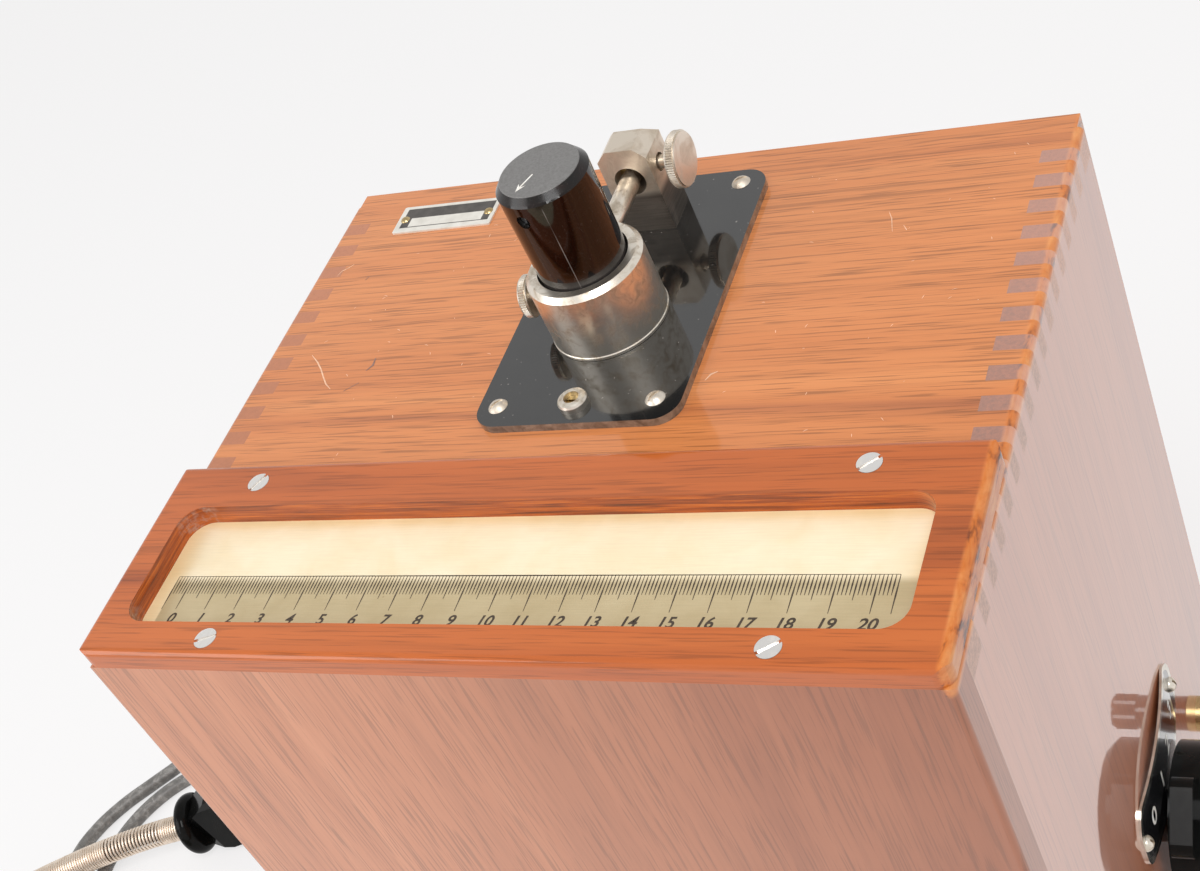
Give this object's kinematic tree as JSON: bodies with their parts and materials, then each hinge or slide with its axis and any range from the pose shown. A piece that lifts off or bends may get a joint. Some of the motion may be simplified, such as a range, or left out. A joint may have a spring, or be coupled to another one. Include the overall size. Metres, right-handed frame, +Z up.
{
  "type": "light-spot galvanometer",
  "caption": "Light-spot galvanometer in a finger-jointed lacquered hardwood case with a scale window, a torsion head with tangent fine screw, a sensitivity selector and a loose mains lead.",
  "frame": {"origin": "centre of the case's footprint on the underside of the base board, which rests on the table", "axes": "+Z up, the scale side faces -Y, the selector side faces +X, the inlet side faces +Y"},
  "size_m": [0.5968, 0.2438, 0.3565],
  "materials": {
    "wood_top": "glossy lacquered mahogany, grain left to right",
    "wood_side": "glossy lacquered mahogany, upright grain",
    "wood_front": "glossy lacquered mahogany, upright grain",
    "wood_frame": "glossy lacquered mahogany, grain left to right",
    "scale_opal": "translucent cream scale, satin",
    "nickel": "worn nickel plate, satin",
    "steel": "plain steel",
    "black_enamel": "glossy black enamel, worn at the edges",
    "brass": "dull brass",
    "tag_aluminium": "thin stamped tag, satin",
    "bakelite_brown": "polished dark brown bakelite",
    "bakelite_black": "polished black bakelite",
    "magnet_steel": "dark magnet steel",
    "soft_iron": "soft iron",
    "copper_wire": "enamelled copper wire",
    "mirror_glass": "silvered glass",
    "clear_glass": "clear glass",
    "guard_spring": "close-wound steel spring, tarnished",
    "cable_sheath": "dark rubber sheath"
  },
  "bodies": {
    "case": {"top_panel": "wood_top", "side_panel_left": "wood_side", "side_panel_right": "wood_side", "front_panel": "wood_front", "back_board": "wood_side", "base_board": "wood_side", "back_screws": "nickel", "scale_frame": "wood_frame", "frame_screws": "nickel", "scale_plate": "scale_opal", "head_plate": "black_enamel", "head_plate_screws": "nickel", "mark_bush": "nickel", "hub": "brass", "hub_nut": "brass", "guide_block": "nickel", "plunger_spring": "steel", "spring_cap": "nickel", "owner_plate": "tag_aluminium", "owner_plate_pins": "brass", "movement_frame": "brass", "magnet": "magnet_steel", "pole_pieces": "soft_iron", "iron_core": "soft_iron", "suspension_strips": "brass", "lamp_stand": "brass", "lamp_tube": "black_enamel", "lamp_lens": "clear_glass", "lamp_socket": "bakelite_brown", "lamp_bulb": "clear_glass", "light_mirrors": "mirror_glass", "mirror_stands": "black_enamel", "transformer_core": "soft_iron", "transformer_winding": "copper_wire", "selector_switch": "bakelite_brown", "dial_plate": "nickel", "dial_screws": "nickel", "terminal_bases": "brass", "inlet": "bakelite_black", "connector": "bakelite_black", "cable_guard": "guard_spring", "mains_cable": "cable_sheath", "cable_coil": "cable_sheath", "mains_plug": "bakelite_black"},
    "mark": {"mark_spindle": "brass"},
    "collar": {"clamping_collar": "nickel", "collar_arm": "nickel"},
    "clamp": {"clamp_screw": "nickel"},
    "torsion_head": {"torsion_knob": "bakelite_brown", "knob_set_screw": "steel", "torsion_spindle": "steel"},
    "fine_shank": {"fine_screw_shank": "nickel"},
    "fine_head": {"fine_screw_head": "nickel"},
    "plunger": {"arm_plunger": "brass"},
    "coil": {"moving_coil": "copper_wire", "coil_mirror": "mirror_glass"},
    "selector": {"selector_knob": "bakelite_black", "selector_shaft": "steel"},
    "cap_front": {"terminal_cap_front": "bakelite_brown"},
    "cap_rear": {"terminal_cap_rear": "bakelite_brown"}
  },
  "joints": [
    {"name": "fine_feed", "type": "slide", "parent": "case", "child": "fine_shank", "axis": [1, 0, 0], "range_m": [-0.00151, 0.00151]},
    {"name": "fine_turn", "type": "hinge", "parent": "fine_shank", "child": "fine_head", "pos_m": [0.0133, 0.0697, 0.322], "axis": [1, 0, 0], "range_deg": [-1080, 1080]},
    {"name": "collar_turn", "type": "hinge", "parent": "case", "child": "collar", "pos_m": [-0.0012, 0.0251, 0.31], "axis": [0, 0, 1], "range_deg": [-1.96, 1.96]},
    {"name": "plunger_slide", "type": "slide", "parent": "case", "child": "plunger", "axis": [1, 0, 0], "range_m": [-0.00151, 0.00151]},
    {"name": "torsion_turn", "type": "hinge", "parent": "collar", "child": "torsion_head", "pos_m": [-0.0012, 0.0251, 0.33], "axis": [0, 0, 1], "range_deg": [-45, 45]},
    {"name": "clamp_turn", "type": "hinge", "parent": "collar", "child": "clamp", "pos_m": [-0.0191, 0.02322, 0.315], "axis": [-0.9945, -0.1045, 0], "range_deg": [0, 270]},
    {"name": "mark_turn", "type": "hinge", "parent": "case", "child": "mark", "pos_m": [-0.0012, -0.0088, 0.3], "axis": [0, 0, 1], "range_deg": [-90, 90]},
    {"name": "coil_swing", "type": "hinge", "parent": "case", "child": "coil", "pos_m": [-0.0012, 0.0251, 0.19], "axis": [0, 0, 1], "range_deg": [-6, 6], "stiffness_Nm_per_rad": 0.00002},
    {"name": "selector_turn", "type": "hinge", "parent": "case", "child": "selector", "pos_m": [0.1215, 0.004, 0.098], "axis": [-1, 0, 0], "range_deg": [0, 90]},
    {"name": "cap_front_turn", "type": "hinge", "parent": "case", "child": "cap_front", "pos_m": [0.13, -0.048, 0.081], "axis": [1, 0, 0], "range_deg": [0, 720]},
    {"name": "cap_rear_turn", "type": "hinge", "parent": "case", "child": "cap_rear", "pos_m": [0.13, 0.056, 0.081], "axis": [1, 0, 0], "range_deg": [0, 720]}
  ],
  "couplings": [
    {"joint": "fine_feed", "follows": "fine_turn", "m_per_rad": 0.000079577},
    {"joint": "plunger_slide", "follows": "fine_turn", "m_per_rad": 0.000079577},
    {"joint": "collar_turn", "follows": "fine_turn", "ratio": -0.0017843}
  ]
}
